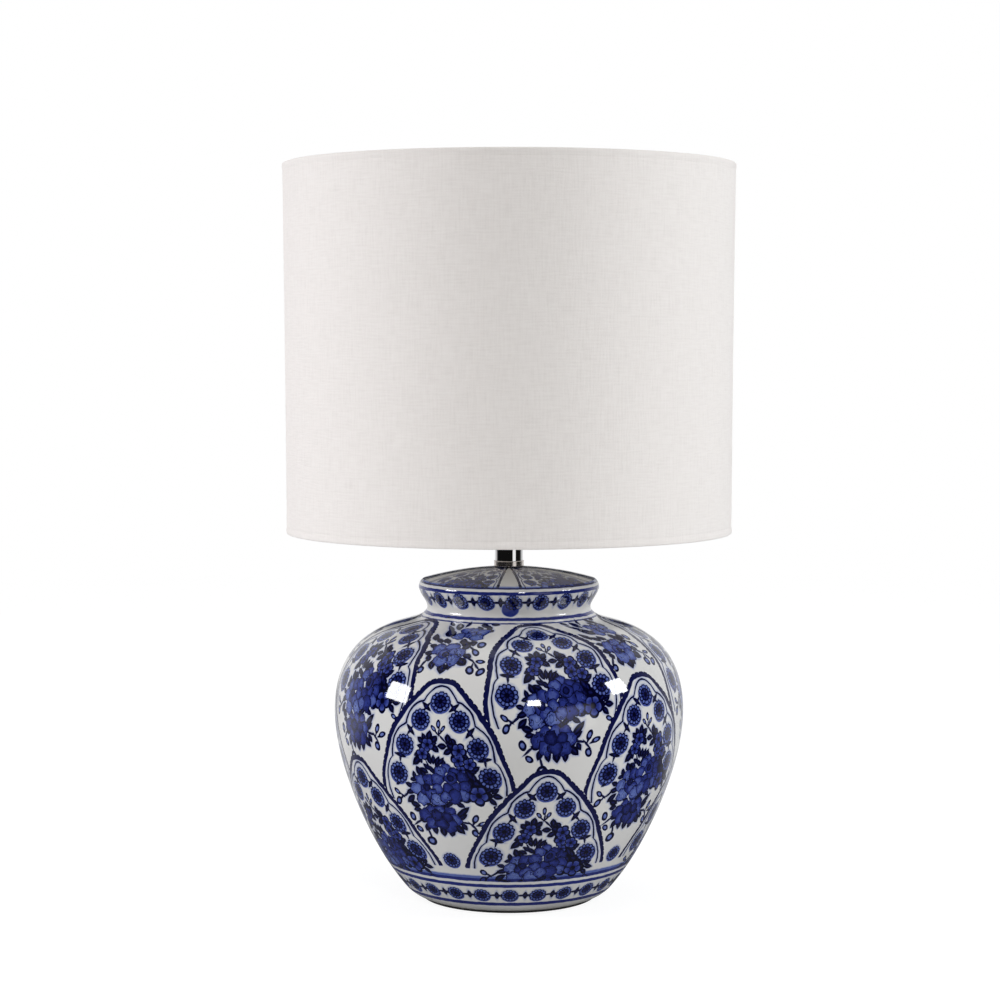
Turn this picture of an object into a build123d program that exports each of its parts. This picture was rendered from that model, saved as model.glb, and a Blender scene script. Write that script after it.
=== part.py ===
from build123d import *
import os
from math import hypot

# Ginger jar lamp. A glazed jar with a domed top carries a chrome neck tube, a lampholder with an
# outside thread and a linen drum shade. Millimetres, +Z up, the origin on the lamp's axis under
# the felt pad, -Y towards the front. Profiles are drawn as (radius, height) on the XZ plane.

# Jar, outside
foot_radius = 68.3
heel_radius = 82.6
heel_height = 11.0
heel_bulge = 1.3
belly_radius = 136.4
belly_height = 149.0
shoulder_radius = 76.3  # where the shoulder meets the neck
shoulder_rise = 69.2  # above the belly, and each rise below above the point before it
neck_radius = 63.9
neck_rise = 8.8
lip_radius = 70.2
lip_rise = 14.5
lip_bulge = 1.5
dome_radius = 67.3  # where the rolled lip meets the dome
dome_foot_rise = 7.9
dome_rise = 9.3
flank_shape = [(0.256, 0.138), (0.56, 0.355), (0.789, 0.572), (0.946, 0.79)]  # shares, heel to belly
shoulder_shape = [(0.1, 0.448), (0.335, 0.737), (0.708, 0.925)]  # shares, belly to shoulder
neck_fillet_shape = (0.67, 0.43)  # share, shoulder to neck
neck_flare_shape = (0.45, 0.55)  # share, neck to lip

# Jar, inside
jar_wall = 5.0
foot_bore_radius = 57.0
foot_ring_height = 9.0
clamp_land_radius = 24.0  # flat under the dome for the washers
clamp_land_depth = 6.4
inner_dome_depth = 5.2

# Foot closure
felt_thickness = 1.5
felt_inset = 0.5
board_thickness = 3.0
board_radius = 61.6
board_clearance = 0.3

# Cord grommet, at the back of the foot
grommet_share = 0.65  # place on the flank between its first two points
grommet_bore_radius = 3.3
grommet_body_radius = 5.5
grommet_flange_radius = 8.0
grommet_flange_thickness = 1.8
grommet_seat_depth = 0.8
grommet_reach = 3.0  # how far the body stands into the jar
grommet_clearance = 0.1

# Threaded rod and its hardware
rod_radius = 5.0
rod_bore_radius = 3.6
rod_tail = 6.0  # below the lower nut
thread_clearance = 0.05
hole_clearance = 0.6
seat_thickness = 1.5
seat_radius = 20.0
clamp_plate_thickness = 2.0
clamp_plate_radius = 18.0
lock_washer_thickness = 2.0
lock_washer_radius = 8.8
lock_washer_gap = 1.6
nut_height = 5.0
thin_nut_height = 4.0
nut_across_flats = 14.0
nut_chamfer = 0.6

# Collar and neck tube
gasket_thickness = 0.5
gasket_radius = 10.4
collar_radius = 11.7
collar_height = 4.4
collar_fillet = 0.6
spigot_height = 3.0
spigot_clearance = 0.1
tube_radius = 11.0
tube_wall = 1.0
tube_length = 23.4
tube_cap_thickness = 2.0

# Lampholder, heights above the cap's lower end
holder_boss_radius = 8.5
holder_boss_height = 4.5
holder_cap_radius = 19.4
holder_flare_height = 13.0
holder_cap_height = 21.5
holder_cap_wall = 1.8
holder_flange_radius = 22.5
holder_flange_thickness = 2.0
holder_thread_depth = 8.0  # threaded bore for the rod
shell_radius = 20.0
shell_wall = 3.0
shell_height = 36.0
shell_spigot_height = 6.5
shell_spigot_wall = 1.6
shell_ledge_height = 1.5
shell_clearance = 0.1
thread_pitch = 2.5
thread_depth = 0.7
thread_groove = 1.1
thread_start = 2.4  # first groove above the shoulder
insert_floor = 6.0
insert_rim = 1.5  # how far the insert stays below the shell's mouth
insert_clearance = 0.1
screw_shell_radius = 13.3
screw_shell_thickness = 0.5
screw_shell_length = 24.0
screw_shell_flange_radius = 9.0
screw_shell_cup_radius = 12.0  # narrower below the thread, round the contacts
screw_shell_cup_height = 6.8
screw_shell_clearance = 0.2
lock_screw_radius = 1.5
lock_screw_head = 0.8  # how far the lock screw stands out of the boss
lock_screw_height = 2.4

# Contacts and terminals
strip_thickness = 0.6
strip_width = 5.0
tab_start = 3.4
tab_end = 8.2
tongue_gap = 0.3
tongue_root = 5.6
tongue_rise = 3.9
tongue_tip = -1.8
tongue_bend = 1.8
contact_button_radius = 1.7
contact_button_height = 0.7
terminal_width = 5.0
terminal_depth = 6.0
terminal_height = 7.0
live_terminal_x = 8.1
neutral_terminal_x = -9.6
terminal_screw_radius = 1.4
terminal_screw_hole = 1.5
terminal_screw_head_radius = 2.4
terminal_screw_head_height = 2.0
terminal_screw_length = 6.0
rivet_radius = 1.1
rivet_clearance = 0.05
live_rivet_x = 6.9
neutral_rivet_x = -10.4

# Shade rings
ring_clearance = 0.15
ring_radius = 29.0
ring_hub_radius = 23.5
ring_flange_thickness = 2.0
ring_height = 4.5
ring_notches = 24
ring_notch_radius = 1.2

# Shade
shade_upper_radius = 175.0
shade_taper = 2.0  # how much smaller the lower edge's radius is
shade_hollow = 0.3  # how far the side curves in halfway down
shade_height = 284.5
shade_drop = 33.0  # from the fitter down to the shade's lower edge
cloth_thickness = 0.6
cloth_clearance = 0.05
liner_thickness = 0.5
hem_depth = 5.6
hem_height = 9.0
wire_radius = 1.8
fitter_thickness = 1.5
fitter_radius = 32.0
fitter_clearance = 0.5
arm_count = 3
arm_level_radius = 44.0  # where an arm bends down from the fitter
arm_bend_radius = 12.0
arm_notch_width = 6.0

# Heights that follow from the sizes above
shoulder_height = belly_height + shoulder_rise
neck_height = shoulder_height + neck_rise
lip_height = neck_height + lip_rise
dome_foot_height = lip_height + dome_foot_rise
dome_height = dome_foot_height + dome_rise
clamp_land_height = dome_height - clamp_land_depth
lower_nut_top = clamp_land_height - seat_thickness - clamp_plate_thickness - lock_washer_thickness
rod_bottom = lower_nut_top - nut_height - rod_tail
gasket_top = dome_height + gasket_thickness
collar_top = gasket_top + collar_height
tube_top = collar_top + tube_length
tube_cap_top = tube_top + tube_cap_thickness
holder_bottom = tube_cap_top + thin_nut_height
holder_shoulder = holder_bottom + holder_cap_height
shell_top = holder_shoulder + shell_height
insert_bottom = holder_shoulder + shell_ledge_height
insert_top = insert_bottom + insert_floor
rod_top = holder_bottom + holder_thread_depth
fitter_bottom = holder_shoulder + ring_height
fitter_top = fitter_bottom + fitter_thickness
shade_bottom = fitter_bottom - shade_drop
shade_top = shade_bottom + shade_height
shade_middle = shade_bottom + shade_height / 2
shade_lower_radius = shade_upper_radius - shade_taper
shade_middle_radius = shade_upper_radius - shade_taper / 2 - shade_hollow
rod_hole_radius = rod_radius + hole_clearance
nut_bore_radius = rod_radius + thread_clearance


def between(start, end, share):
    """The point that lies the given shares of the way across and up from start to end."""
    across, up = share
    return (start[0] + (end[0] - start[0]) * across, start[1] + (end[1] - start[1]) * up)


def inset(points, wall):
    """Each inner point of a profile moved towards the axis by the wall, square to its neighbours."""
    moved = []
    for before, point, after in zip(points, points[1:], points[2:]):
        run = after[0] - before[0]
        rise = after[1] - before[1]
        length = hypot(run, rise)
        moved.append((point[0] - wall * rise / length, point[1] + wall * run / length))
    return moved


def washer(bottom, thickness, outer_radius, bore_radius):
    """A flat ring about the lamp's axis."""
    with BuildPart() as ring:
        with BuildSketch(Plane.XY.offset(bottom)):
            Circle(outer_radius)
            Circle(bore_radius, mode=Mode.SUBTRACT)
        extrude(amount=thickness)
    return ring


def hex_nut(bottom, height):
    """A hex nut on the rod with both ends chamfered."""
    with BuildPart() as nut:
        with BuildSketch(Plane.XY.offset(bottom)):
            RegularPolygon(nut_across_flats / 2, 6, major_radius=False)
            Circle(nut_bore_radius, mode=Mode.SUBTRACT)
        extrude(amount=height)
        ends = nut.faces().filter_by(Axis.Z)
        chamfer([end.outer_wire().edges() for end in ends], nut_chamfer)
    return nut


def shade_line(inwards, lower, upper):
    """The shade's gently hollow side, set inwards, between two distances from its edges."""
    foot = (shade_lower_radius - inwards, shade_bottom + lower)
    middle = (shade_middle_radius - inwards, shade_middle)
    head = (shade_upper_radius - inwards, shade_top - upper)
    return foot, middle, head


# Jar: one ceramic shell, open at the foot
foot = (foot_radius, felt_thickness)
heel = (heel_radius, heel_height)
belly = (belly_radius, belly_height)
shoulder = (shoulder_radius, shoulder_height)
neck = (neck_radius, neck_height)
lip = (lip_radius, lip_height)
dome_foot = (dome_radius, dome_foot_height)
flank_points = [between(heel, belly, share) for share in flank_shape]
shoulder_points = [between(belly, shoulder, share) for share in shoulder_shape]
neck_fillet = between(shoulder, neck, neck_fillet_shape)
neck_flare = between(neck, lip, neck_flare_shape)
body_points = [heel, *flank_points, belly, *shoulder_points, shoulder]
neck_points = [shoulder, neck_fillet, neck, neck_flare, lip]
inner_points = inset([foot, *body_points, *neck_points[1:]], jar_wall)
inner_dome_foot = (neck_radius - jar_wall, dome_foot_height - inner_dome_depth)
board_top = felt_thickness + board_thickness
rebate_radius = board_radius + board_clearance

# The grommet's seat is square to the flank, on the back
flank_start = flank_points[0]
seat_radial, seat_height = between(heel, flank_start, (grommet_share, grommet_share))
flank_run = flank_start[0] - heel[0]
flank_rise = flank_start[1] - heel[1]
seat_face = Plane(
    origin=(0, seat_radial, seat_height),
    x_dir=(1, 0, 0),
    z_dir=(0, flank_rise, -flank_run),
)
grommet_plane = seat_face.offset(-grommet_seat_depth)

with BuildPart() as jar:
    with BuildSketch(Plane.XZ):
        with BuildLine():
            heel_arc = SagittaArc(foot, heel, -heel_bulge)
            body = Spline(*body_points, tangents=[heel_arc % 1, (-1, 0.31)])
            Spline(*neck_points, tangents=[(-1, 0.31), (0.4, 1)])
            SagittaArc(lip, dome_foot, -lip_bulge)
            TangentArc((0, dome_height), dome_foot, tangent=(1, 0))
            Polyline(
                (0, dome_height),
                (0, clamp_land_height),
                (clamp_land_radius, clamp_land_height),
                inner_dome_foot,
                inner_points[-1],
            )
            Spline(*inner_points)
            Polyline(
                inner_points[0],
                (foot_bore_radius, foot_ring_height),
                (foot_bore_radius, board_top),
                (rebate_radius, board_top),
                (rebate_radius, felt_thickness),
                foot,
            )
        make_face()
    revolve(axis=Axis.Z)
    with BuildSketch(Plane.XY.offset(clamp_land_height)):
        Circle(rod_hole_radius)
    extrude(amount=clamp_land_depth, mode=Mode.SUBTRACT)
    with BuildSketch(grommet_plane):
        Circle(grommet_body_radius + grommet_clearance)
    extrude(amount=-2 * jar_wall, mode=Mode.SUBTRACT)
    with BuildSketch(grommet_plane):
        Circle(grommet_flange_radius + grommet_clearance)
    extrude(amount=jar_wall, mode=Mode.SUBTRACT)

with BuildPart() as cord_grommet:
    with BuildSketch(grommet_plane):
        Circle(grommet_flange_radius)
    extrude(amount=grommet_flange_thickness)
    outer_rim = cord_grommet.faces().sort_by(Axis(seat_face.origin, seat_face.z_dir))[-1].edges()
    fillet(outer_rim, grommet_flange_thickness / 3)
    with BuildSketch(grommet_plane):
        Circle(grommet_body_radius)
    extrude(amount=-(jar_wall + grommet_reach))
    with BuildSketch(grommet_plane.offset(grommet_flange_thickness)):
        Circle(grommet_bore_radius)
    extrude(amount=-(jar_wall + grommet_reach + grommet_flange_thickness), mode=Mode.SUBTRACT)

# Foot closure
with BuildPart() as felt_pad:
    with BuildSketch(Plane.XY):
        Circle(foot_radius - felt_inset)
    extrude(amount=felt_thickness)

with BuildPart() as base_board:
    with BuildSketch(Plane.XY.offset(felt_thickness)):
        Circle(board_radius)
    extrude(amount=board_thickness)

# Rod and the stack that clamps it under the dome
with BuildPart() as threaded_rod:
    with BuildSketch(Plane.XY.offset(rod_bottom)):
        Circle(rod_radius)
        Circle(rod_bore_radius, mode=Mode.SUBTRACT)
    extrude(amount=rod_top - rod_bottom)

clamp_seat = washer(clamp_land_height - seat_thickness, seat_thickness, seat_radius, nut_bore_radius)
clamp_plate_bottom = clamp_land_height - seat_thickness - clamp_plate_thickness
clamp_plate = washer(clamp_plate_bottom, clamp_plate_thickness, clamp_plate_radius, nut_bore_radius)

with BuildPart() as lock_washer:
    with BuildSketch(Plane.XY.offset(lower_nut_top)):
        Circle(lock_washer_radius)
        Circle(nut_bore_radius, mode=Mode.SUBTRACT)
        with Locations((lock_washer_radius, 0)):
            Rectangle(2 * lock_washer_radius - nut_bore_radius, lock_washer_gap, mode=Mode.SUBTRACT)
    extrude(amount=lock_washer_thickness)

lower_nut = hex_nut(lower_nut_top - nut_height, nut_height)

# Collar, neck tube and upper nut
gasket = washer(dome_height, gasket_thickness, gasket_radius, nut_bore_radius)
spigot_radius = tube_radius - tube_wall - spigot_clearance

with BuildPart() as collar:
    with BuildSketch(Plane.XY.offset(gasket_top)):
        Circle(collar_radius)
    extrude(amount=collar_height)
    fillet(collar.edges(), collar_fillet)
    with BuildSketch(Plane.XY.offset(collar_top)):
        Circle(spigot_radius)
    extrude(amount=spigot_height)
    with BuildSketch(Plane.XY.offset(gasket_top)):
        Circle(nut_bore_radius)
    extrude(amount=collar_height + spigot_height, mode=Mode.SUBTRACT)

neck_tube = washer(collar_top, tube_length, tube_radius, tube_radius - tube_wall)

with BuildPart() as tube_cap:
    with BuildSketch(Plane.XY.offset(tube_top)):
        Circle(tube_radius)
    extrude(amount=tube_cap_thickness)
    with BuildSketch(Plane.XY.offset(tube_top - spigot_height)):
        Circle(spigot_radius)
    extrude(amount=spigot_height)
    with BuildSketch(Plane.XY.offset(tube_top - spigot_height)):
        Circle(nut_bore_radius)
    extrude(amount=spigot_height + tube_cap_thickness, mode=Mode.SUBTRACT)

upper_nut = hex_nut(tube_cap_top, thin_nut_height)

# Lampholder
cap_inner_radius = holder_cap_radius - holder_cap_wall
boss_top = holder_bottom + holder_boss_height
flare_top = holder_bottom + holder_flare_height
flange_bottom = holder_shoulder - holder_flange_thickness

with BuildPart() as holder_cap:
    with BuildSketch(Plane.XZ):
        with BuildLine():
            Polyline(
                (nut_bore_radius, holder_bottom),
                (holder_boss_radius, holder_bottom),
                (holder_boss_radius, boss_top),
            )
            TangentArc((holder_cap_radius, flare_top), (holder_boss_radius, boss_top), tangent=(0, -1))
            Polyline(
                (holder_cap_radius, flare_top),
                (holder_cap_radius, flange_bottom),
                (holder_flange_radius, flange_bottom),
                (holder_flange_radius, holder_shoulder),
                (cap_inner_radius, holder_shoulder),
                (cap_inner_radius, flare_top),
                (holder_boss_radius, rod_top),
                (nut_bore_radius, rod_top),
                (nut_bore_radius, holder_bottom),
            )
        make_face()
    revolve(axis=Axis.Z)
    with BuildSketch(Plane.YZ):
        with Locations((0, holder_bottom + lock_screw_height)):
            Circle(lock_screw_radius + thread_clearance)
    extrude(amount=2 * holder_boss_radius, mode=Mode.SUBTRACT)

with BuildPart() as lock_screw:
    with BuildSketch(Plane.YZ.offset(rod_radius)):
        with Locations((0, holder_bottom + lock_screw_height)):
            Circle(lock_screw_radius)
    extrude(amount=holder_boss_radius - rod_radius + lock_screw_head)
    with BuildSketch(Plane.YZ.offset(holder_boss_radius + lock_screw_head)):
        with Locations((0, holder_bottom + lock_screw_height)):
            Rectangle(0.5, 3 * lock_screw_radius)
    extrude(amount=-lock_screw_head, mode=Mode.SUBTRACT)

spigot_outer_radius = cap_inner_radius - shell_clearance
ledge_radius = spigot_outer_radius - shell_spigot_wall
shell_bore_radius = shell_radius - shell_wall
groove_count = int((shell_height - thread_start) / thread_pitch)
groove_bottoms = [holder_shoulder + thread_start + turn * thread_pitch for turn in range(groove_count)]

with BuildPart() as holder_shell:
    with BuildSketch(Plane.XZ):
        with BuildLine():
            Polyline(
                (ledge_radius, holder_shoulder - shell_spigot_height),
                (spigot_outer_radius, holder_shoulder - shell_spigot_height),
                (spigot_outer_radius, holder_shoulder),
                (shell_radius, holder_shoulder),
                (shell_radius, shell_top),
                (shell_bore_radius, shell_top),
                (shell_bore_radius, insert_bottom),
                (ledge_radius, insert_bottom),
                close=True,
            )
        make_face()
    revolve(axis=Axis.Z)
    fillet(holder_shell.faces().sort_by(Axis.Z)[-1].edges(), thread_depth)
    with BuildSketch(*[Plane.XY.offset(bottom) for bottom in groove_bottoms]):
        Circle(shell_radius + thread_depth)
        Circle(shell_radius - thread_depth, mode=Mode.SUBTRACT)
    extrude(amount=thread_groove, mode=Mode.SUBTRACT)

insert_radius = shell_bore_radius - insert_clearance
sleeve_radius = screw_shell_radius + screw_shell_thickness + screw_shell_clearance
sleeve_top = shell_top - insert_rim
rivet_hole_radius = rivet_radius + rivet_clearance

with BuildPart() as holder_insert:
    with BuildSketch(Plane.XY.offset(insert_bottom)):
        Circle(insert_radius)
    extrude(amount=sleeve_top - insert_bottom)
    with BuildSketch(Plane.XY.offset(insert_top)):
        Circle(sleeve_radius)
    extrude(amount=sleeve_top - insert_top, mode=Mode.SUBTRACT)
    with BuildSketch(Plane.XY.offset(insert_bottom)):
        with Locations((live_rivet_x, 0), (neutral_rivet_x, 0)):
            Circle(rivet_hole_radius)
    extrude(amount=insert_floor, mode=Mode.SUBTRACT)

thread_bottom = insert_top + screw_shell_cup_height
thread_length = screw_shell_length - screw_shell_cup_height

with BuildPart() as screw_shell:
    with BuildSketch(Plane.XY.offset(insert_top)):
        Circle(screw_shell_cup_radius + screw_shell_thickness)
    extrude(amount=screw_shell_cup_height)
    with BuildSketch(Plane.XY.offset(thread_bottom - screw_shell_thickness)):
        Circle(screw_shell_radius + screw_shell_thickness)
    extrude(amount=thread_length + screw_shell_thickness)
    with BuildSketch(Plane.XY.offset(thread_bottom)):
        Circle(screw_shell_radius)
    extrude(amount=thread_length, mode=Mode.SUBTRACT)
    with BuildSketch(Plane.XY.offset(insert_top + screw_shell_thickness)):
        Circle(screw_shell_cup_radius)
    extrude(amount=screw_shell_cup_height, mode=Mode.SUBTRACT)
    with BuildSketch(Plane.XY.offset(insert_top)):
        Circle(screw_shell_flange_radius)
        with Locations((neutral_rivet_x, 0)):
            Circle(rivet_hole_radius)
    extrude(amount=screw_shell_thickness, mode=Mode.SUBTRACT)

with BuildPart() as contact_base:
    with BuildSketch(Plane.XY.offset(insert_top)):
        with Locations(((tab_start + tab_end) / 2, 0)):
            Rectangle(tab_end - tab_start, strip_width)
        with Locations((live_rivet_x, 0)):
            Circle(rivet_hole_radius, mode=Mode.SUBTRACT)
    extrude(amount=strip_thickness)

# The tongue rises from its root over the tab to the middle, where its button meets the bulb
tongue_bottom = insert_top + strip_thickness + tongue_gap
tongue_crest = tongue_bottom + tongue_rise

with BuildPart() as centre_contact:
    with BuildSketch(Plane.XZ.offset(-strip_width / 2)):
        with BuildLine():
            Polyline(
                (tongue_root, tongue_bottom),
                (tongue_root, tongue_bottom + strip_thickness),
                (tongue_bend, tongue_crest + strip_thickness),
                (tongue_tip, tongue_crest + strip_thickness),
                (tongue_tip, tongue_crest),
                (tongue_bend, tongue_crest),
                close=True,
            )
        make_face()
    extrude(amount=strip_width)
    with BuildSketch(Plane.XY.offset(tongue_crest)):
        with Locations(((tongue_tip + tongue_bend) / 2, 0)):
            Circle(contact_button_radius)
    extrude(amount=strip_thickness + contact_button_height)
    fillet(centre_contact.faces().sort_by(Axis.Z)[-1].edges(), contact_button_height / 2)


def terminal(middle_x):
    """A brass terminal block under the insert, with a hole for its screw."""
    with BuildPart() as block:
        with BuildSketch(Plane.XY.offset(insert_bottom - terminal_height)):
            with Locations((middle_x, 0)):
                Rectangle(terminal_width, terminal_depth)
                Circle(terminal_screw_hole, mode=Mode.SUBTRACT)
        extrude(amount=terminal_height)
    return block


live_terminal = terminal(live_terminal_x)
neutral_terminal = terminal(neutral_terminal_x)
terminal_bottom = insert_bottom - terminal_height

with BuildPart() as terminal_screws:
    with BuildSketch(Plane.XY.offset(terminal_bottom - terminal_screw_head_height)):
        with Locations((live_terminal_x, 0), (neutral_terminal_x, 0)):
            Circle(terminal_screw_head_radius)
            Rectangle(3 * terminal_screw_head_radius, 0.8, mode=Mode.SUBTRACT)
    extrude(amount=terminal_screw_head_height / 2)
    with BuildSketch(Plane.XY.offset(terminal_bottom - terminal_screw_head_height / 2)):
        with Locations((live_terminal_x, 0), (neutral_terminal_x, 0)):
            Circle(terminal_screw_head_radius)
    extrude(amount=terminal_screw_head_height / 2)
    with BuildSketch(Plane.XY.offset(terminal_bottom)):
        with Locations((live_terminal_x, 0), (neutral_terminal_x, 0)):
            Circle(terminal_screw_radius)
    extrude(amount=terminal_screw_length)

with BuildPart() as rivets:
    with BuildSketch(Plane.XY.offset(insert_bottom)):
        with Locations((live_rivet_x, 0), (neutral_rivet_x, 0)):
            Circle(rivet_radius)
    extrude(amount=insert_floor + screw_shell_thickness)


def shade_ring(flange_bottom, hub_bottom, height):
    """A ring nut for the lampholder's thread: a hub and a wide flange with finger notches."""
    with BuildPart() as ring:
        with BuildSketch(Plane.XY.offset(flange_bottom)):
            Circle(ring_radius)
            with PolarLocations(ring_radius, ring_notches):
                Circle(ring_notch_radius, mode=Mode.SUBTRACT)
        extrude(amount=ring_flange_thickness)
        with BuildSketch(Plane.XY.offset(hub_bottom)):
            Circle(ring_hub_radius)
        extrude(amount=height)
        with BuildSketch(Plane.XY.offset(hub_bottom)):
            Circle(shell_radius + ring_clearance)
        extrude(amount=height, mode=Mode.SUBTRACT)
    return ring


lower_shade_ring = shade_ring(fitter_bottom - ring_flange_thickness, holder_shoulder, ring_height)
upper_shade_ring = shade_ring(fitter_top, fitter_top, ring_height)

# Shade frame: the wires run just inside the liner, the hems fold round them
wire_inset = cloth_thickness + liner_thickness + 3 * cloth_clearance + wire_radius
wire_lift = cloth_thickness + cloth_clearance + wire_radius
lower_wire_radius = shade_lower_radius - wire_inset
upper_wire_radius = shade_upper_radius - wire_inset
lower_wire_height = shade_bottom + wire_lift
upper_wire_height = shade_top - wire_lift
arm_height = fitter_bottom + fitter_thickness / 2
arm_start = ring_radius + fitter_clearance

with BuildPart() as shade_frame:
    with BuildSketch(Plane.XY.offset(fitter_bottom)):
        Circle(fitter_radius)
        Circle(shell_radius + fitter_clearance, mode=Mode.SUBTRACT)
    extrude(amount=fitter_thickness)
    for arm in range(arm_count):
        turn = Plane.XZ.rotated((0, 0, 90 + arm * 360 / arm_count))
        with BuildLine(turn) as arm_path:
            FilletPolyline(
                (arm_start, arm_height),
                (arm_level_radius, arm_height),
                (lower_wire_radius, lower_wire_height),
                radius=arm_bend_radius,
            )
        with BuildSketch(Plane(arm_path.line @ 0, z_dir=arm_path.line % 0)):
            Circle(wire_radius)
        sweep(path=arm_path.line)
    with BuildSketch(Plane.XZ):
        with Locations((lower_wire_radius, lower_wire_height)):
            Circle(wire_radius)
    revolve(axis=Axis.Z)

with BuildPart() as shade_top_wire:
    with BuildSketch(Plane.XZ):
        with Locations((upper_wire_radius, upper_wire_height)):
            Circle(wire_radius)
    revolve(axis=Axis.Z)

liner_inset = cloth_thickness + cloth_clearance
liner_outer = shade_line(liner_inset, liner_inset, liner_inset)
liner_inner = shade_line(liner_inset + liner_thickness, liner_inset, liner_inset)

with BuildPart() as shade_liner:
    with BuildSketch(Plane.XZ):
        with BuildLine():
            ThreePointArc(*liner_outer)
            Line(liner_outer[2], liner_inner[2])
            ThreePointArc(*liner_inner)
            Line(liner_inner[0], liner_outer[0])
        make_face()
    revolve(axis=Axis.Z)

cloth_outer = shade_line(0, 0, 0)
cloth_inner = shade_line(cloth_thickness, cloth_thickness, cloth_thickness)
hem_outer_step = hem_depth - cloth_thickness

with BuildPart() as shade_fabric:
    with BuildSketch(Plane.XZ):
        with BuildLine():
            ThreePointArc(*cloth_outer)
            Polyline(
                cloth_outer[2],
                (shade_upper_radius - hem_depth, shade_top),
                (shade_upper_radius - hem_depth, shade_top - hem_height),
                (shade_upper_radius - hem_outer_step, shade_top - hem_height),
                (shade_upper_radius - hem_outer_step, shade_top - cloth_thickness),
                cloth_inner[2],
            )
            ThreePointArc(*cloth_inner)
            Polyline(
                cloth_inner[0],
                (shade_lower_radius - hem_outer_step, shade_bottom + cloth_thickness),
                (shade_lower_radius - hem_outer_step, shade_bottom + hem_height),
                (shade_lower_radius - hem_depth, shade_bottom + hem_height),
                (shade_lower_radius - hem_depth, shade_bottom),
                cloth_outer[0],
            )
        make_face()
    revolve(axis=Axis.Z)
    # The lower hem is notched where each arm passes to the wire
    with BuildSketch(Plane.XY.offset(shade_bottom + cloth_thickness)):
        with PolarLocations(shade_lower_radius - hem_depth, arm_count, start_angle=90):
            Rectangle(2 * (hem_depth - liner_inset - liner_thickness), arm_notch_width)
    extrude(amount=hem_height, mode=Mode.SUBTRACT)

pieces = {
    "felt_pad": felt_pad,
    "base_board": base_board,
    "jar": jar,
    "cord_grommet": cord_grommet,
    "threaded_rod": threaded_rod,
    "clamp_seat": clamp_seat,
    "clamp_plate": clamp_plate,
    "lock_washer": lock_washer,
    "lower_nut": lower_nut,
    "gasket": gasket,
    "collar": collar,
    "neck_tube": neck_tube,
    "tube_cap": tube_cap,
    "upper_nut": upper_nut,
    "holder_cap": holder_cap,
    "lock_screw": lock_screw,
    "holder_shell": holder_shell,
    "holder_insert": holder_insert,
    "screw_shell": screw_shell,
    "contact_base": contact_base,
    "centre_contact": centre_contact,
    "live_terminal": live_terminal,
    "neutral_terminal": neutral_terminal,
    "terminal_screws": terminal_screws,
    "rivets": rivets,
    "lower_shade_ring": lower_shade_ring,
    "upper_shade_ring": upper_shade_ring,
    "shade_frame": shade_frame,
    "shade_top_wire": shade_top_wire,
    "shade_liner": shade_liner,
    "shade_fabric": shade_fabric,
}

os.makedirs("parts", exist_ok=True)
for name, piece in pieces.items():
    piece.part.label = name
    export_step(piece.part, f"parts/{name}.step")
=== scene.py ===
import math

import bmesh
import bpy
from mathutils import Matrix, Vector


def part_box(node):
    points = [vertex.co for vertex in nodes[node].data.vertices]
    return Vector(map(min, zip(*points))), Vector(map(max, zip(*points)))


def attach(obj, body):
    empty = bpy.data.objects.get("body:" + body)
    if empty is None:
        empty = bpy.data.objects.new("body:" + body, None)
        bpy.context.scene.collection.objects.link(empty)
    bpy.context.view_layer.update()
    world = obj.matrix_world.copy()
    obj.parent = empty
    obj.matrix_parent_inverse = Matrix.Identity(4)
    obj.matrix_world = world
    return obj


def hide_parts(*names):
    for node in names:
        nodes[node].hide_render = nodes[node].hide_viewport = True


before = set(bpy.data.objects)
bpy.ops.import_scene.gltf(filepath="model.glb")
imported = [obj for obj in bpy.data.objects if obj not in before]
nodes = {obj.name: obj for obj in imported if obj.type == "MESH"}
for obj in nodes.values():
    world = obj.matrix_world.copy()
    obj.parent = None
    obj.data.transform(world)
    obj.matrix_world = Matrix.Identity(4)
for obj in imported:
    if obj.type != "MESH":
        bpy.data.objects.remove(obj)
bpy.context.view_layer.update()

MM = 0.001
TAU = 2 * math.pi
TURN = math.degrees(1)  # degrees in a radian


# ---------------------------------------------------------------- numbers in node trees
class Num:
    """A number inside a node tree: sums of Nums make Math nodes, one after the other."""

    def __init__(self, tree, socket):
        self.tree = tree
        self.socket = socket

    def made(self, operation, *others):
        node = self.tree.nodes.new("ShaderNodeMath")
        node.operation = operation
        for index, value in enumerate((self, *others)):
            feed(self.tree, node.inputs[index], value)
        return Num(self.tree, node.outputs[0])

    def __add__(self, other):
        return self.made("ADD", other)

    def __sub__(self, other):
        return self.made("SUBTRACT", other)

    def __rsub__(self, other):
        return self.made("MULTIPLY_ADD", -1.0, other)

    def __mul__(self, other):
        return self.made("MULTIPLY", other)

    def __truediv__(self, other):
        return self.made("DIVIDE", other)

    def __abs__(self):
        return self.made("ABSOLUTE")

    def least(self, other):
        return self.made("MINIMUM", other)

    def most(self, other):
        return self.made("MAXIMUM", other)

    def below(self, limit):
        """1 where the number is below the limit, else 0."""
        return self.made("LESS_THAN", limit)

    def above(self, limit):
        return self.made("GREATER_THAN", limit)

    def wave(self, operation, rate):
        return (self * rate).made(operation)


def feed(tree, socket, value):
    """Links a Num or a socket to a socket, or sets a plain number on it."""
    if isinstance(value, Num):
        tree.links.new(value.socket, socket)
    elif isinstance(value, bpy.types.NodeSocket):
        tree.links.new(value, socket)
    else:
        socket.default_value = value


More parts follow.
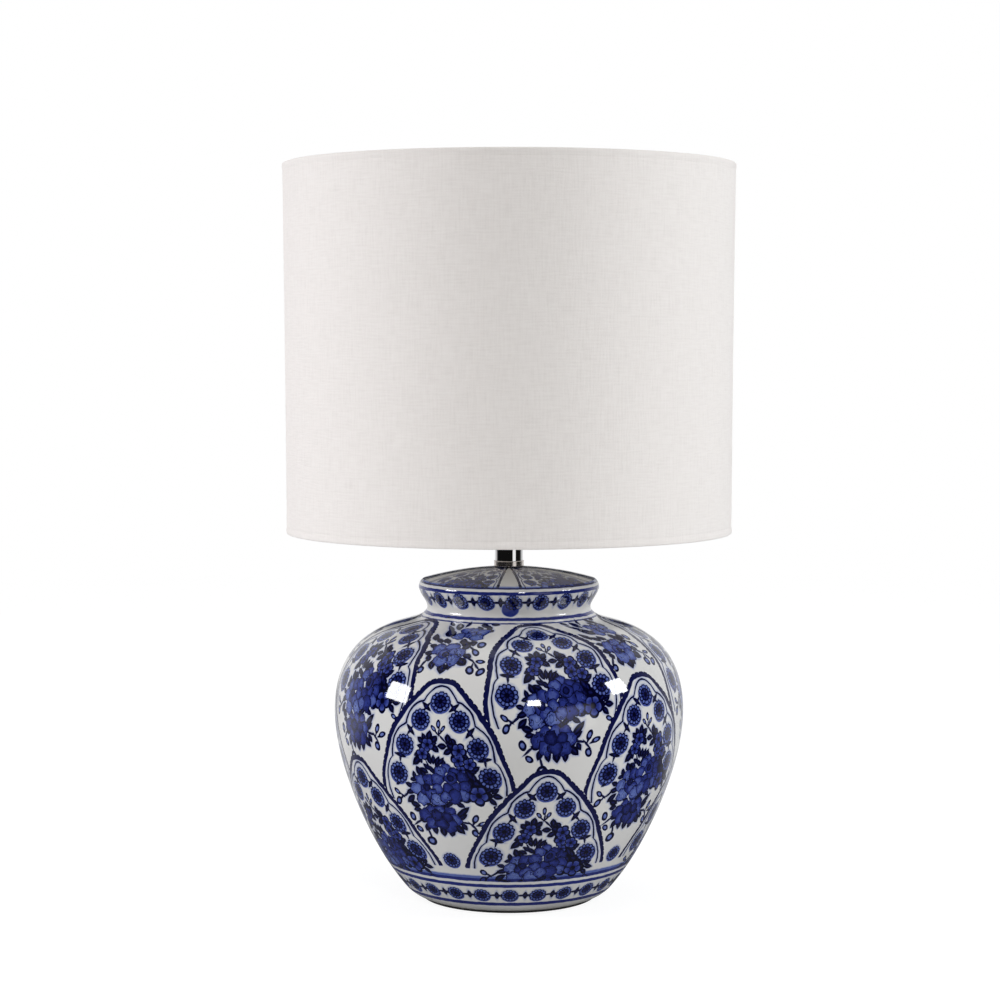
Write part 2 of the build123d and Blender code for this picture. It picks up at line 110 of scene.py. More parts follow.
def ramp(value, start, end, low=0.0, high=1.0):
    """A smooth step: low at start, high at end."""
    node = value.tree.nodes.new("ShaderNodeMapRange")
    node.interpolation_type = "SMOOTHSTEP"
    feed(value.tree, node.inputs["Value"], value)
    for name, number in (("From Min", start), ("From Max", end), ("To Min", low), ("To Max", high)):
        feed(value.tree, node.inputs[name], number)
    return Num(value.tree, node.outputs[0])


def mix(share, first, second):
    """first where share is 0, second where it is 1."""
    node = share.tree.nodes.new("ShaderNodeMix")
    feed(share.tree, node.inputs[0], share)
    feed(share.tree, node.inputs[2], first)
    feed(share.tree, node.inputs[3], second)
    return Num(share.tree, node.outputs[0])


def mix_points(share, first, second):
    """The same for two points."""
    node = share.tree.nodes.new("ShaderNodeMix")
    node.data_type = "VECTOR"
    feed(share.tree, node.inputs[0], share)
    feed(share.tree, node.inputs[4], first)
    feed(share.tree, node.inputs[5], second)
    return node.outputs[1]


def mix_pairs(share, first, second):
    """The same for two (u, v) pairs."""
    return tuple(mix(share, a, b) for a, b in zip(first, second))


def curve(value, points, sharp=()):
    """A curve drawn through (value, result) points, with corners at the ones that sharp counts."""
    low, high = points[0][0], points[-1][0]
    scaled = (value - low) / (high - low)
    node = value.tree.nodes.new("ShaderNodeFloatCurve")
    top = max(y for _, y in points)
    line = node.mapping.curves[0]
    while len(line.points) < len(points):
        line.points.new(0.5, 0.5)
    for index, (x, y) in enumerate(points):
        line.points[index].location = ((x - low) / (high - low), y / top)
        line.points[index].handle_type = "VECTOR" if index in sharp else "AUTO"
    node.mapping.update()
    feed(value.tree, node.inputs["Value"], scaled)
    return Num(value.tree, node.outputs[0]) * top


def point(tree, x, y, z=1.0):
    """A point of the plane. Its z of 1 lets one dot product move, turn and scale it."""
    node = tree.nodes.new("ShaderNodeCombineXYZ")
    for index, value in enumerate((x, y, z)):
        feed(tree, node.inputs[index], value)
    return node.outputs[0]


def parts_of(tree, vector):
    node = tree.nodes.new("ShaderNodeSeparateXYZ")
    tree.links.new(vector, node.inputs[0])
    return [Num(tree, output) for output in node.outputs]


def vector_math(tree, operation, vector, other=(0.0, 0.0, 0.0)):
    node = tree.nodes.new("ShaderNodeVectorMath")
    node.operation = operation
    tree.links.new(vector, node.inputs[0])
    node.inputs[1].default_value = other
    return Num(tree, node.outputs["Value"])


def distance(tree, spot, x, y, radius=1.0, extra=0.0):
    """The distance to x, y in radii, and the extra."""
    away = vector_math(tree, "DISTANCE", spot, (x, y, 1.0))
    return away.made("MULTIPLY_ADD", 1.0 / radius, extra)


def seen(tree, spot, x, y, half_length, half_width, turn=0.0):
    """spot seen from a motif at x, y: turned to it, and 1 at its ends and at its sides."""
    c, s = math.cos(math.radians(turn)), math.sin(math.radians(turn))
    along = (c / half_length, s / half_length, -(c * x + s * y) / half_length)
    across = (-s / half_width, c / half_width, (s * x - c * y) / half_width)
    return vector_math(tree, "DOT_PRODUCT", spot, along), vector_math(tree, "DOT_PRODUCT", spot, across)


def square_of(pair):
    """The square of a pair's length."""
    u, v = pair
    return v.made("MULTIPLY_ADD", v, u * u)


def size_of(pair):
    return square_of(pair).made("SQRT")


def noise(tree, vector, scale, detail=2.0, output="Fac"):
    node = tree.nodes.new("ShaderNodeTexNoise")
    tree.links.new(vector, node.inputs["Vector"])
    node.inputs["Scale"].default_value = scale
    node.inputs["Detail"].default_value = detail
    return Num(tree, node.outputs[output])


def colours(tree, value, stops):
    """A colour ramp with (position, colour) stops."""
    node = tree.nodes.new("ShaderNodeValToRGB")
    ramp_stops = node.color_ramp.elements
    while len(ramp_stops) < len(stops):
        ramp_stops.new(0.5)
    for stop, (position, colour) in zip(ramp_stops, stops):
        stop.position = position
        stop.color = (*colour, 1.0)
    feed(tree, node.inputs[0], value)
    return node.outputs[0]


def finish_of(name, **settings):
    """A new material and its tree, with constants set on the Principled shader's own sockets."""
    material = bpy.data.materials.new(name)
    material.use_nodes = True
    tree = material.node_tree
    shader = tree.nodes["Principled BSDF"]
    for key, value in settings.items():
        shader.inputs[key.replace("_", " ")].default_value = value
    return material, tree, shader


def bump(tree, shader, height, depth, strength=1.0):
    node = tree.nodes.new("ShaderNodeBump")
    node.inputs["Strength"].default_value = strength
    node.inputs["Distance"].default_value = depth
    feed(tree, node.inputs["Height"], height)
    tree.links.new(node.outputs[0], shader.inputs["Normal"])


def place(tree):
    """The piece's own coordinates, in metres."""
    return tree.nodes.new("ShaderNodeTexCoord").outputs["Object"]


def bearing(x, y):
    """The angle round the axis from the front, in degrees, to the right."""
    return x.made("ARCTAN2", y * -1.0) * TURN


# ---------------------------------------------------------------- the jar's painting
# All motifs are in millimetres from a panel's peak: x to the right, y downwards.
# Half widths of the panel's border at each depth
PANEL_SIDE = [
    (0.0, 0.8), (8.5, 2.3), (13.2, 6.0), (17.8, 11.0), (22.5, 16.0), (27.4, 21.0), (31.7, 27.0),
    (35.8, 32.2), (39.7, 38.2), (43.6, 46.2), (46.1, 54.0), (48.7, 61.0), (51.4, 69.0),
    (53.2, 77.0), (53.6, 86.0),
]
# The thin line inside it, whose lobes meet in cusps
PANEL_LINE = [
    (0.0, 4.3), (4.2, 5.4), (8.4, 8.8), (11.0, 12.2), (13.3, 16.0), (17.3, 17.4), (21.0, 20.0),
    (24.2, 23.4), (26.4, 28.0), (27.8, 33.3), (31.2, 35.4), (35.4, 38.9), (38.2, 42.8),
    (40.4, 48.6), (41.4, 54.6), (41.6, 59.8), (44.8, 63.4), (46.8, 68.0), (48.4, 74.0),
    (48.8, 80.4), (48.2, 86.4),
]
PANEL_CUSPS = (4, 9, 15)
PANEL_CENTRE = 52.0
PANEL_END = 95.0
BAND = 1.7  # half the border's width
LINE = 0.6  # half the thin line's width

# Each leaf and twig: x, y, half length, half width, turn in degrees
PANEL_LEAVES = [
    (-12.6, 42.8, 2.8, 1.4, 62), (-15.2, 50.0, 2.8, 1.4, 8), (-4.6, 47.4, 2.4, 1.2, -10),
    (-18.6, 56.6, 2.8, 1.4, -20), (-9.4, 56.4, 2.6, 1.2, 40), (-16.4, 60.6, 2.6, 1.3, 60),
    (11.0, 56.8, 2.6, 1.3, -40), (19.6, 55.6, 2.8, 1.3, 30), (27.4, 65.4, 3.0, 1.6, -30),
    (24.6, 67.6, 3.0, 1.6, 10), (-13.6, 68.6, 3.4, 1.4, 30), (-14.4, 71.6, 3.0, 1.4, 62),
    (2.8, 62.0, 3.0, 1.2, 78), (-1.8, 64.4, 3.2, 1.1, 70), (25.0, 72.6, 3.2, 1.8, 75),
    (18.4, 75.2, 2.8, 1.6, 50), (31.6, 79.0, 3.0, 1.6, 60), (18.6, 90.6, 3.4, 1.5, -25),
    (12.2, 94.6, 3.6, 1.5, 30), (-12.6, 97.0, 3.4, 1.4, 30), (0.8, 96.6, 3.2, 1.2, 70),
    (-20.4, 110.6, 3.0, 1.5, 20), (13.0, 113.4, 3.0, 1.5, 60), (2.2, 119.4, 3.4, 1.8, 100),
    (-0.2, 38.6, 3.4, 0.42, 95), (-2.3, 38.8, 3.0, 0.36, 48), (1.4, 38.8, 3.0, 0.36, -50),
    (2.6, 43.4, 3.6, 0.55, 48), (6.4, 47.2, 3.2, 0.6, 42),
    (7.0, 43.2, 3.4, 1.8, 80), (2.2, 49.0, 3.3, 1.7, 0), (6.5, 53.0, 3.5, 1.8, -30),
    (11.2, 45.4, 2.8, 1.5, 60), (9.2, 48.8, 3.2, 2.4, 20),
    (-8.0, 41.7, 3.5, 1.9, 100), (-3.9, 44.0, 3.1, 1.8, -50), (-3.7, 51.0, 3.4, 1.9, 45),
    (-15.2, 45.4, 3.0, 1.7, 40), (-19.3, 61.2, 4.8, 2.1, -45),
    (-8.7, 59.8, 3.5, 1.4, 70), (-5.4, 59.6, 3.5, 1.3, 95), (-2.4, 60.7, 3.9, 1.3, -65),
    (0.4, 60.9, 3.7, 1.2, -52), (-11.0, 65.7, 3.4, 1.3, 35), (-7.4, 67.5, 3.4, 1.4, 50),
    (-9.4, 65.0, 5.2, 0.5, 62), (-4.2, 66.0, 4.4, 0.5, -60),
    (-18.2, 69.6, 3.9, 1.8, 65), (-22.8, 73.0, 2.9, 1.4, 78), (-24.2, 76.6, 2.6, 1.3, -12),
    (-20.6, 74.8, 2.4, 1.2, 30), (-28.6, 81.6, 3.1, 1.4, 20), (-27.6, 86.8, 4.0, 1.7, -18),
    (-28.3, 93.0, 4.2, 1.9, -42), (-25.2, 97.4, 3.9, 1.9, 18), (-24.0, 101.6, 3.0, 1.6, -10),
    (-27.4, 87.0, 3.8, 0.6, 12), (-32.6, 90.0, 3.8, 0.6, -36), (-37.0, 90.8, 3.0, 0.5, 40),
    (-37.6, 93.4, 3.4, 0.5, -50),
    (-7.0, 95.2, 3.6, 1.4, 62), (-1.2, 95.0, 4.0, 1.5, 92), (4.4, 94.4, 5.0, 1.4, -35),
    (-17.2, 116.0, 3.8, 1.9, 115), (-11.2, 118.0, 3.6, 1.8, 82), (-4.5, 118.6, 4.2, 2.2, 88),
    (8.9, 115.8, 4.6, 2.2, 48), (13.2, 101.4, 6.8, 1.9, -42), (12.2, 105.2, 4.6, 1.6, -28),
    (22.2, 70.4, 5.0, 2.8, 60), (21.3, 77.3, 4.0, 3.4, 90), (26.6, 76.8, 3.4, 2.8, 20),
    (35.8, 81.6, 3.4, 1.7, -40), (40.0, 82.8, 3.2, 1.4, -35), (41.2, 87.0, 3.6, 1.7, 10),
    (37.4, 91.2, 3.6, 1.6, 50), (34.0, 86.0, 4.0, 2.2, 15), (21.2, 84.0, 4.6, 2.6, 80),
    (14.2, 110.0, 4.8, 0.6, 12), (19.8, 112.8, 4.4, 0.6, 50), (20.8, 109.6, 2.6, 0.5, -65),
    (24.4, 111.6, 2.6, 0.5, -15), (-25.0, 112.6, 5.4, 0.6, -36), (-16.4, 122.0, 4.6, 0.6, 75),
]
# Twigs between the rosettes, the same on both sides: x counts from the middle
CHAIN_LEAVES = [
    (10.6, 20.6, 4.4, 0.7, 50), (11.0, 20.4, 1.5, 3.6, 50),
    (24.2, 38.6, 4.4, 0.7, 52), (24.0, 38.2, 1.5, 3.8, 40),
    (34.2, 59.6, 4.2, 0.7, 80), (34.2, 58.4, 1.5, 4.0, 78), (38.6, 81.0, 2.6, 0.9, 35),
]
BUDS = [
    (-0.7, 32.6, 2.7, 1.4, 92), (-4.6, 36.0, 2.4, 1.3, 48), (2.9, 36.0, 2.4, 1.3, -55),
    (-41.0, 88.4, 2.9, 1.7, 40), (-40.6, 96.0, 3.1, 2.3, -60), (22.3, 106.3, 3.4, 1.9, -60),
    (27.4, 110.4, 3.4, 1.7, -15), (20.6, 118.8, 3.0, 2.4, 70), (-29.4, 108.4, 3.4, 2.3, 70),
    (-25.0, 118.6, 3.0, 2.0, 40), (-16.0, 128.4, 3.6, 3.4, 0), (40.0, 97.0, 2.6, 1.6, 30),
]
# Five-petalled flowers: x, y, radius, turn
FLOWERS = [
    (15.0, 51.9, 5.9, 10), (14.2, 59.4, 5.2, 40), (22.7, 61.9, 5.2, 0), (15.6, 67.0, 4.2, 25),
    (-9.9, 48.6, 5.5, 20), (-14.3, 55.8, 5.1, 50), (27.4, 86.4, 8.2, 15),
]
# Peony petals in the order in which they are laid: x, y, radius, tone
PETALS = [
    (3.8, 65.7, 4.2, 0.50), (10.6, 69.2, 4.4, 0.62), (-0.3, 69.2, 5.0, 0.46),
    (16.4, 73.2, 4.8, 0.66), (-17.8, 77.2, 5.0, 0.44), (-10.5, 75.8, 5.2, 0.56),
    (17.0, 80.0, 5.6, 0.58), (-3.6, 75.6, 5.4, 0.52), (-21.8, 84.0, 5.4, 0.36),
    (15.4, 86.6, 5.2, 0.44), (9.8, 80.2, 5.4, 0.60), (-17.6, 92.0, 6.0, 0.36),
    (-14.2, 84.6, 4.6, 0.60), (3.8, 82.0, 5.0, 0.62), (-3.8, 83.0, 5.0, 0.50),
    (8.6, 88.4, 6.2, 0.62), (-9.6, 87.6, 5.4, 0.50), (-5.2, 92.2, 5.8, 0.36),
    (1.2, 88.6, 4.8, 0.44), (7.4, 73.6, 5.4, 0.58), (7.2, 73.2, 2.9, 0.80),
    (-12.8, 82.0, 3.2, 0.78),
    (-12.0, 101.6, 5.2, 0.56), (-4.4, 100.8, 4.6, 0.50), (3.6, 101.8, 5.0, 0.56),
    (-17.4, 106.2, 6.0, 0.60), (6.0, 107.8, 5.8, 0.48), (-12.0, 112.0, 6.0, 0.54),
    (1.6, 113.6, 6.2, 0.60), (-5.0, 111.6, 6.2, 0.66), (-8.0, 105.2, 5.2, 0.72),
    (0.4, 106.0, 4.4, 0.70),
]
ROSETTES = [(0.0, 16.2, 7.7), (15.5, 29.8, 7.7), (29.4, 49.8, 7.9), (37.0, 72.6, 8.3)]

# The spray that stands free between two upper panels, from its own corner
SPRAY_LEAVES = [
    (-7.5, 10.7, 5.4, 2.2, 70), (-12.5, 15.7, 6.4, 1.5, 48), (-9.2, 22.3, 5.6, 3.2, 50),
    (-15.8, 7.3, 3.4, 1.5, 50), (-1.7, 6.5, 4.4, 1.1, 100), (11.7, 6.8, 4.4, 1.8, 60),
    (10.0, 12.3, 3.8, 1.4, 50), (19.2, 5.0, 3.0, 1.6, 10), (19.2, 15.7, 3.0, 1.7, 30),
    (16.7, 11.5, 4.8, 1.5, 70), (-18.3, 29.8, 5.0, 2.1, 70), (-12.5, 34.8, 4.0, 1.9, 55),
    (-7.5, 34.0, 3.5, 1.8, 80), (-5.0, 35.0, 3.4, 1.5, 72), (-15.0, 42.3, 3.0, 1.7, 10),
    (-15.4, 50.7, 3.6, 1.9, -5), (-14.2, 55.7, 3.0, 1.8, 80), (-9.4, 61.5, 3.7, 2.1, 80),
    (-0.4, 64.0, 4.1, 2.8, 90), (4.2, 62.3, 3.0, 1.7, 80), (13.3, 57.3, 4.4, 2.8, 40),
    (15.8, 51.5, 3.4, 1.8, 20), (6.7, 34.0, 4.4, 2.2, 80), (10.0, 37.3, 4.8, 2.6, 60),
    (15.0, 35.7, 4.0, 2.2, 70), (11.7, 41.5, 3.8, 2.2, -60), (-21.0, 39.4, 3.4, 0.5, 15),
    (16.8, 42.8, 3.8, 0.6, 42), (17.6, 53.6, 9.0, 0.6, 38), (26.0, 61.2, 3.4, 0.6, 50),
    (22.6, 60.8, 3.0, 0.5, 88), (-17.0, 61.0, 4.8, 0.6, -58), (-22.4, 66.8, 4.2, 0.6, -35),
]
SPRAY_BUDS = [
    (-25.4, 35.7, 2.9, 1.9, 10), (-23.3, 42.3, 3.0, 2.4, 20), (22.1, 37.8, 3.8, 2.8, 70),
    (20.8, 47.3, 4.2, 2.1, 55), (27.5, 56.9, 3.2, 1.6, 10), (21.7, 64.8, 3.4, 2.6, 60),
    (30.0, 66.0, 3.4, 2.5, -50), (-17.9, 66.5, 3.0, 2.2, -50), (-25.8, 61.5, 2.8, 1.9, 45),
]
SPRAY_PETALS = [
    (-8.3, 45.9, 6.6, 0.40), (1.3, 43.4, 6.4, 0.42), (7.7, 48.4, 5.6, 0.38),
    (5.4, 56.3, 6.0, 0.40), (-3.9, 57.0, 6.4, 0.38), (-3.2, 49.8, 5.0, 0.50),
    (2.6, 47.5, 3.8, 0.44), (-1.7, 50.8, 2.6, 0.76),
    (1.7, 16.5, 5.0, 0.46), (8.3, 17.3, 5.0, 0.40), (15.0, 18.4, 5.0, 0.42),
    (0.0, 25.4, 5.4, 0.38), (7.5, 23.4, 4.8, 0.46), (14.0, 26.0, 5.2, 0.36),
]
REPEAT = 72.0  # degrees between two panels of a row
# Rows of panels, from the one on top: angle, the peak's place along the side, turn, stretch
ROWS = [(12.3, 139.3, 0.0, 1.0), (-22.3, 206.2, 0.0, 1.0), (12.8, 274.8, -4.2, 1.05)]
# On the dome a panel fills a steady angle on each side of its middle, and is drawn smaller:
# angle, the peak's place, half angle, size
DOME_ROW = (36.0, 370.0, 28.6, 0.68)
PANEL_DEPTH = 133.0  # a panel covers the one under it down to this depth
PANEL_FOOT = 54.0  # the place along the side where the borders end
SPRAY = (-24.0, 280.0)  # angle and place of the spray's corner
# A twig between two rosettes of a band, as leaves
TWIG = [(0.0, 0.0, 6.0, 0.75, 0.0), (1.0, 0.0, 1.7, 3.0, 0.0), (2.6, 0.0, 3.4, 0.9, 0.0)]
LONE_ROSETTE = (-24.0, 61.0, 6.6)  # angle, place, radius
LONE_REACH = 1.7  # the square of its reach in radii
# Bands of rosettes: angle of the first, step, place, radius
NECK_CHAIN = (2.6, 18.0, 296.2, 6.5)
FOOT_CHAIN = (0.2, 360.0 / 26, 26.8, 6.4)
# Where the bands lie, as places along the side
NECK_BAND = (281.0, 311.0)
NECK_CLEARED = 311.5
FOOT_BAND = 42.0
# Painted rings: place along the side, half width, tone
RINGS = [(16.4, 1.8, 0.67), (37.2, 1.5, 0.67), (43.3, 1.5, 0.67), (276.8, 0.7, 0.72),
         (281.2, 1.25, 0.67), (303.8, 1.2, 0.67), (310.4, 0.9, 0.84)]
# Colour that ran. One drop under a neck rosette: angle, place, half width, half height, tone
DROP = (0.6, 290.2, 6.6, 6.4, 0.60)
# Along the foot's lines and the dome's edge: place, half width, half width of its core, tone
RUNS = [(45.6, 3.0, 0.8, 0.40), (311.4, 3.4, 0.4, 0.42)]
# Tone of the blue that bleeds a little round a stroke, and round the petals
HALO = 0.15
PETAL_HALO = 0.16
LEAF_SPREAD = (1.18, 1.3, 0.14)  # leaves are fuller than listed: length times, width times and plus
TREMBLE = 1.1  # how far the hand's tremble moves a line
TREMBLE_SCALE = 170.0
RUFFLE = 0.95  # how uneven a petal's rim is
RUFFLE_SCALE = 210.0
FOLD_SCALE = 170.0
FOLD_RATE = 20.0
PRESSURE_SCALE = 110.0  # the brush presses more in some places than in others
SCALLOP_STEP = 5.2
SCALLOP_DEPTH = 1.25
SCALLOP_ROOM = 0.9  # how far outside its band a panel still covers what lies under it
NOWHERE = (9.0, 9.0)  # far outside any rosette


def outside_line(node, front=-0.3, steps=260):
    """(height, radius) of a round node's outside, read from its mesh, both in millimetres."""
    low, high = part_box(node)
    rows = []
    for step in range(steps):
        height = low.z + (high.z - low.z) * (step + 0.5) / steps
        hit, where, _, _ = nodes[node].ray_cast(Vector((0, front, height)), Vector((0, 1, 0)))
        if hit:
            rows.append((height / MM, -where.y / MM))
    return rows


def along_side(rows):
    """(height, distance along the side) in millimetres, up to the dome's foot."""
    found, gone = [], rows[0][0]
    for (low, r_low), (high, r_high) in zip(rows, rows[1:]):
        found.append((low, gone))
        gone += math.hypot(high - low, r_high - r_low)
    return found


def polar(points):
    """A side given as (half width, depth) as (angle from the peak, reach from the centre)."""
    return [(math.degrees(math.atan2(x, PANEL_CENTRE - y)), math.hypot(x, PANEL_CENTRE - y))
            for x, y in points]


def arc_lengths(points):
    """(angle, length along the border) for the same points."""
    found, gone = [], 0.0
    for (angle, _), start, end in zip(polar(points), points, points[1:] + points[-1:]):
        found.append((angle, gone))
        gone += math.dist(start, end)
    return found


class Skin:
    """The jar's outside: the angle round it, its radius, and the place along its side from the foot
    over the shoulder to the dome's middle. A hand's tremble moves what is drawn on it."""

    def __init__(self, tree):
        self.tree = tree
        rows = outside_line("jar")
        x, y, z = parts_of(tree, place(tree))
        self.radius = size_of((y, x)) * (1 / MM)
        self.angle = bearing(x, y)
        side = along_side(rows)
        picked = [side[i] for i in range(0, len(side), 6)] + [side[-1]]
        on_body = curve(z * (1 / MM), picked, range(len(picked)))
        edge_radius, edge = rows[-1][1], side[-1][1]
        on_dome = edge + edge_radius - self.radius
        smooth = mix(z.below(side[-1][0] * MM), on_dome, on_body)
        self.here = place(tree)
        tremble = noise(tree, self.here, TREMBLE_SCALE, 1.0, "Color")
        across, along, _ = parts_of(tree, tremble.socket)
        self.shift = (across - 0.5) * TREMBLE
        self.side = smooth + (along - 0.5) * TREMBLE

    def from_middle(self, middle, repeat=REPEAT):
        """Degrees from the nearest motif's middle."""
        return (self.angle - middle).made("WRAP", repeat / 2, -repeat / 2)

    def local(self, middle, start, repeat=REPEAT):
        """A motif's own point: across and down from its corner."""
        across = self.from_middle(middle, repeat) * self.radius * math.radians(1)
        return point(self.tree, across + self.shift, start - self.side)


def nearest_leaf(tree, spot, leaves):
    longer, wider, extra = LEAF_SPREAD
    found = None
    for x, y, half_length, half_width, turn in leaves:
        u, v = seen(tree, spot, x, y, half_length * longer, half_width * wider + extra, turn)
        shape = u.made("MULTIPLY_ADD", u, abs(v))
        found = shape if found is None else found.least(shape)
    return found


def lay_leaves(ink, found):
    """Dark leaves with a slightly paler heart."""
    ink = ink.most(ramp(found, 2.0, 1.0, 0.0, HALO))
    heart = ramp(found, 0.0, 0.5, 0.78, 1.0)
    return mix(ramp(found, 1.10, 0.92), ink, heart)


def lay_buds(tree, ink, spot, buds):
    """Pale buds with a dark rim."""
    found = None
    for bud in buds:
        shape = square_of(seen(tree, spot, *bud))
        found = shape if found is None else found.least(shape)
    found = found.made("SQRT")
    return mix(ramp(found, 1.26, 1.12), ink, ramp(found, 0.46, 0.76, 0.34, 1.0))


def lay_petals(tree, ink, spot, petals, wobble, fold):
    """Overlapping ruffled petals, each darker towards its rim, under the folds drawn over them."""
    near = None
    for x, y, radius, tone in petals:
        shape = distance(tree, spot, x, y, radius, wobble)
        wash = ramp(shape, 0.35, 0.85, tone, tone + 0.14)
        rim = wash.most(ramp(shape, 0.80, 0.92, 0.0, 0.98))
        ink = mix(ramp(shape, 1.04, 0.98), ink, rim)
        near = shape if near is None else near.least(shape)
    return ink.most(ramp(near, 1.0, 0.9) * fold).most(ramp(near, 1.34, 1.0, 0.0, PETAL_HALO))


def nearest(tree, spot, motifs):
    """spot seen from the nearest motif, 1 at its rim, and how far away it is."""
    best = near = None
    for motif in motifs:
        own = seen(tree, spot, *motif)
        size = size_of(own)
        if near is None:
            best, near = own, size
        else:
            best = mix_pairs(size.below(near), best, own)
            near = near.least(size)
    return best, near


def lay_flowers(tree, ink, spot, flowers):
    """Five-petalled flowers, pale between a dark heart and dark splits."""
    own, size = nearest(tree, spot, [(x, y, r, r, turn) for x, y, r, turn in flowers])
    turn = own[1].made("ARCTAN2", own[0])
    lobes = abs(turn.wave("COSINE", 2.5))
    shape = size / (lobes * 0.24 + 0.76)
    split = ramp(lobes, 0.42, 0.14) * ramp(size, 0.2, 0.45)
    heart = ramp(size, 0.36, 0.20)
    tone = mix(split.most(heart), ramp(size, 0.2, 0.9, 0.70, 0.50), 1.0)
    return mix(ramp(shape, 1.14, 1.06), ink, tone.most(ramp(shape, 0.72, 0.92)))


def lay_rosette(ink, own, wobble):
    """A rosette of radius 1: thirteen pale petals round eight seeds, on dark ground."""
    size = size_of(own)
    turn = own[1].made("ARCTAN2", own[0])
    outer = abs(turn.wave("COSINE", 6.5))
    inner = abs(turn.wave("COSINE", 4.0))
    rim = size / (outer * 0.12 + 0.91) + wobble
    spill = size_of((own[0] - 0.05, own[1] - 0.13))
    ink = ink.most(ramp(spill, 1.08, 1.0, 0.0, 0.52)).most(ramp(size, 1.34, 1.0, 0.0, HALO))
    petal = ramp(outer, 0.30, 0.62) * ramp(size, 0.60, 0.70) * ramp(rim, 0.93, 0.84)
    seed = ramp(inner, 0.30, 0.72) * ramp(size, 0.18, 0.28) * ramp(size, 0.56, 0.46)
    tone = 1.0 - petal * 0.60 - seed * 0.26
    return mix(ramp(rim, 1.03, 0.98), ink, tone)


def from_peak(side_u, v):
    """The angle from a panel's peak, seen from its centre, in degrees."""
    return side_u.made("ARCTAN2", PANEL_CENTRE - v) * TURN


def panel_points(skin):
    """The point seen from the nearest panel of each row, from the row on top to the dome's."""
    tree = skin.tree
    panels = []
    for middle, start, turn, stretch in ROWS:
        own = skin.local(middle, start)
        if turn:
            own = point(tree, *seen(tree, own, 0, 0, 1.0, stretch, turn))
        panels.append(own)
    middle, start, half_angle, size = DOME_ROW
    across = skin.from_middle(middle)
    down = (start - skin.side) / size
    width = curve(down, [(v, w) for w, v in PANEL_SIDE])
    panels.append(point(tree, across * width / half_angle + skin.shift, down))
    return panels


def nearest_panel(skin):
    """The point seen from the panel on top of those that cover it, and 1 where one does."""
    tree = skin.tree
    spot = on_panel = None
    for own in panel_points(skin):
        u, v, _ = parts_of(tree, own)
        angle = from_peak(abs(u), v)
        band = distance(tree, own, 0.0, PANEL_CENTRE) - curve(angle, polar(PANEL_SIDE))
        cover = band.below(BAND + SCALLOP_ROOM) * v.below(PANEL_DEPTH)
        if spot is None:
            spot, on_panel = own, cover
        else:
            spot = mix_points(on_panel, own, spot)
            on_panel = on_panel.most(cover)
    return spot, on_panel


def ruffles(skin):
    """How uneven the petals' rims are, and the folds drawn over them."""
    tree, here = skin.tree, skin.here
    wobble = (noise(tree, here, RUFFLE_SCALE) - 0.5) * RUFFLE
    folds = noise(tree, here, FOLD_SCALE, 1.0).wave("SINE", FOLD_RATE)
    fold = ramp(abs(folds), 0.36, 0.14)
    return wobble, fold * ramp(noise(tree, here, PRESSURE_SCALE, 1.0), 0.40, 0.56, 0.45, 1.0)


def lay_border(skin, ink, spot, side_u, v):
    """A band with a scalloped outside, and the lobed line within."""
    angle = from_peak(side_u, v)
    reach = distance(skin.tree, spot, 0.0, PANEL_CENTRE)
    band = reach - curve(angle, polar(PANEL_SIDE))
    arc = curve(angle, arc_lengths(PANEL_SIDE))
    scallop = abs(arc.wave("SINE", math.pi / SCALLOP_STEP)) * SCALLOP_DEPTH
    outer = band - scallop
    ends = ramp(v, PANEL_END + 1.0, PANEL_END) * ramp(skin.side, PANEL_FOOT, PANEL_FOOT + 1.0)
    band_ink = ramp(outer, BAND - 0.9, BAND - 0.3, 0.86, 1.0)
    in_band = ramp(outer, BAND + 0.25, BAND - 0.1) * ramp(band, -BAND - 0.25, -BAND + 0.1)
    line = abs(reach - curve(angle, polar(PANEL_LINE), PANEL_CUSPS))
    in_line = ramp(line, LINE + 0.32, LINE - 0.1)
    ink = ink.most(ramp(line.least(abs(band)), 3.0, 0.8, 0.0, HALO) * ends)
    ink = mix(in_band * ends, ink, band_ink)
    return mix(in_line * ends, ink, 0.98)


def rosette_point(skin, mirrored, on_panel):
    """The point seen from its nearest rosette: one of a panel's, or the one that stands alone."""
    tree = skin.tree
    best, _ = nearest(tree, mirrored, [(x, y, size, size) for x, y, size in ROSETTES])
    best = mix_pairs(on_panel, NOWHERE, best)
    middle, start, radius = LONE_ROSETTE
    lone = seen(tree, skin.local(middle, start), 0, 0, radius, radius)
    near_lone = square_of(lone).below(LONE_REACH) * (1.0 - on_panel)
    return mix_pairs(near_lone, best, lone)


def lay_rings(skin, ink):
    for start, half_width, tone in RINGS:
        away = abs(skin.side - start)
        ink = ink.most(ramp(away, half_width + 0.45, half_width - 0.15, 0.0, tone))
    return ink


def lay_runs(skin, ink):
    middle, start, half_width, half_height, tone = DROP
    drop = size_of(seen(skin.tree, skin.local(middle, start, 360.0), 0, 0, half_width, half_height))
    ink = ink.most(ramp(drop, 1.1, 0.9, 0.0, tone))
    for start, half_width, core, tone in RUNS:
        ink = ink.most(ramp(abs(skin.side - start), half_width, core, 0.0, tone))
    return ink


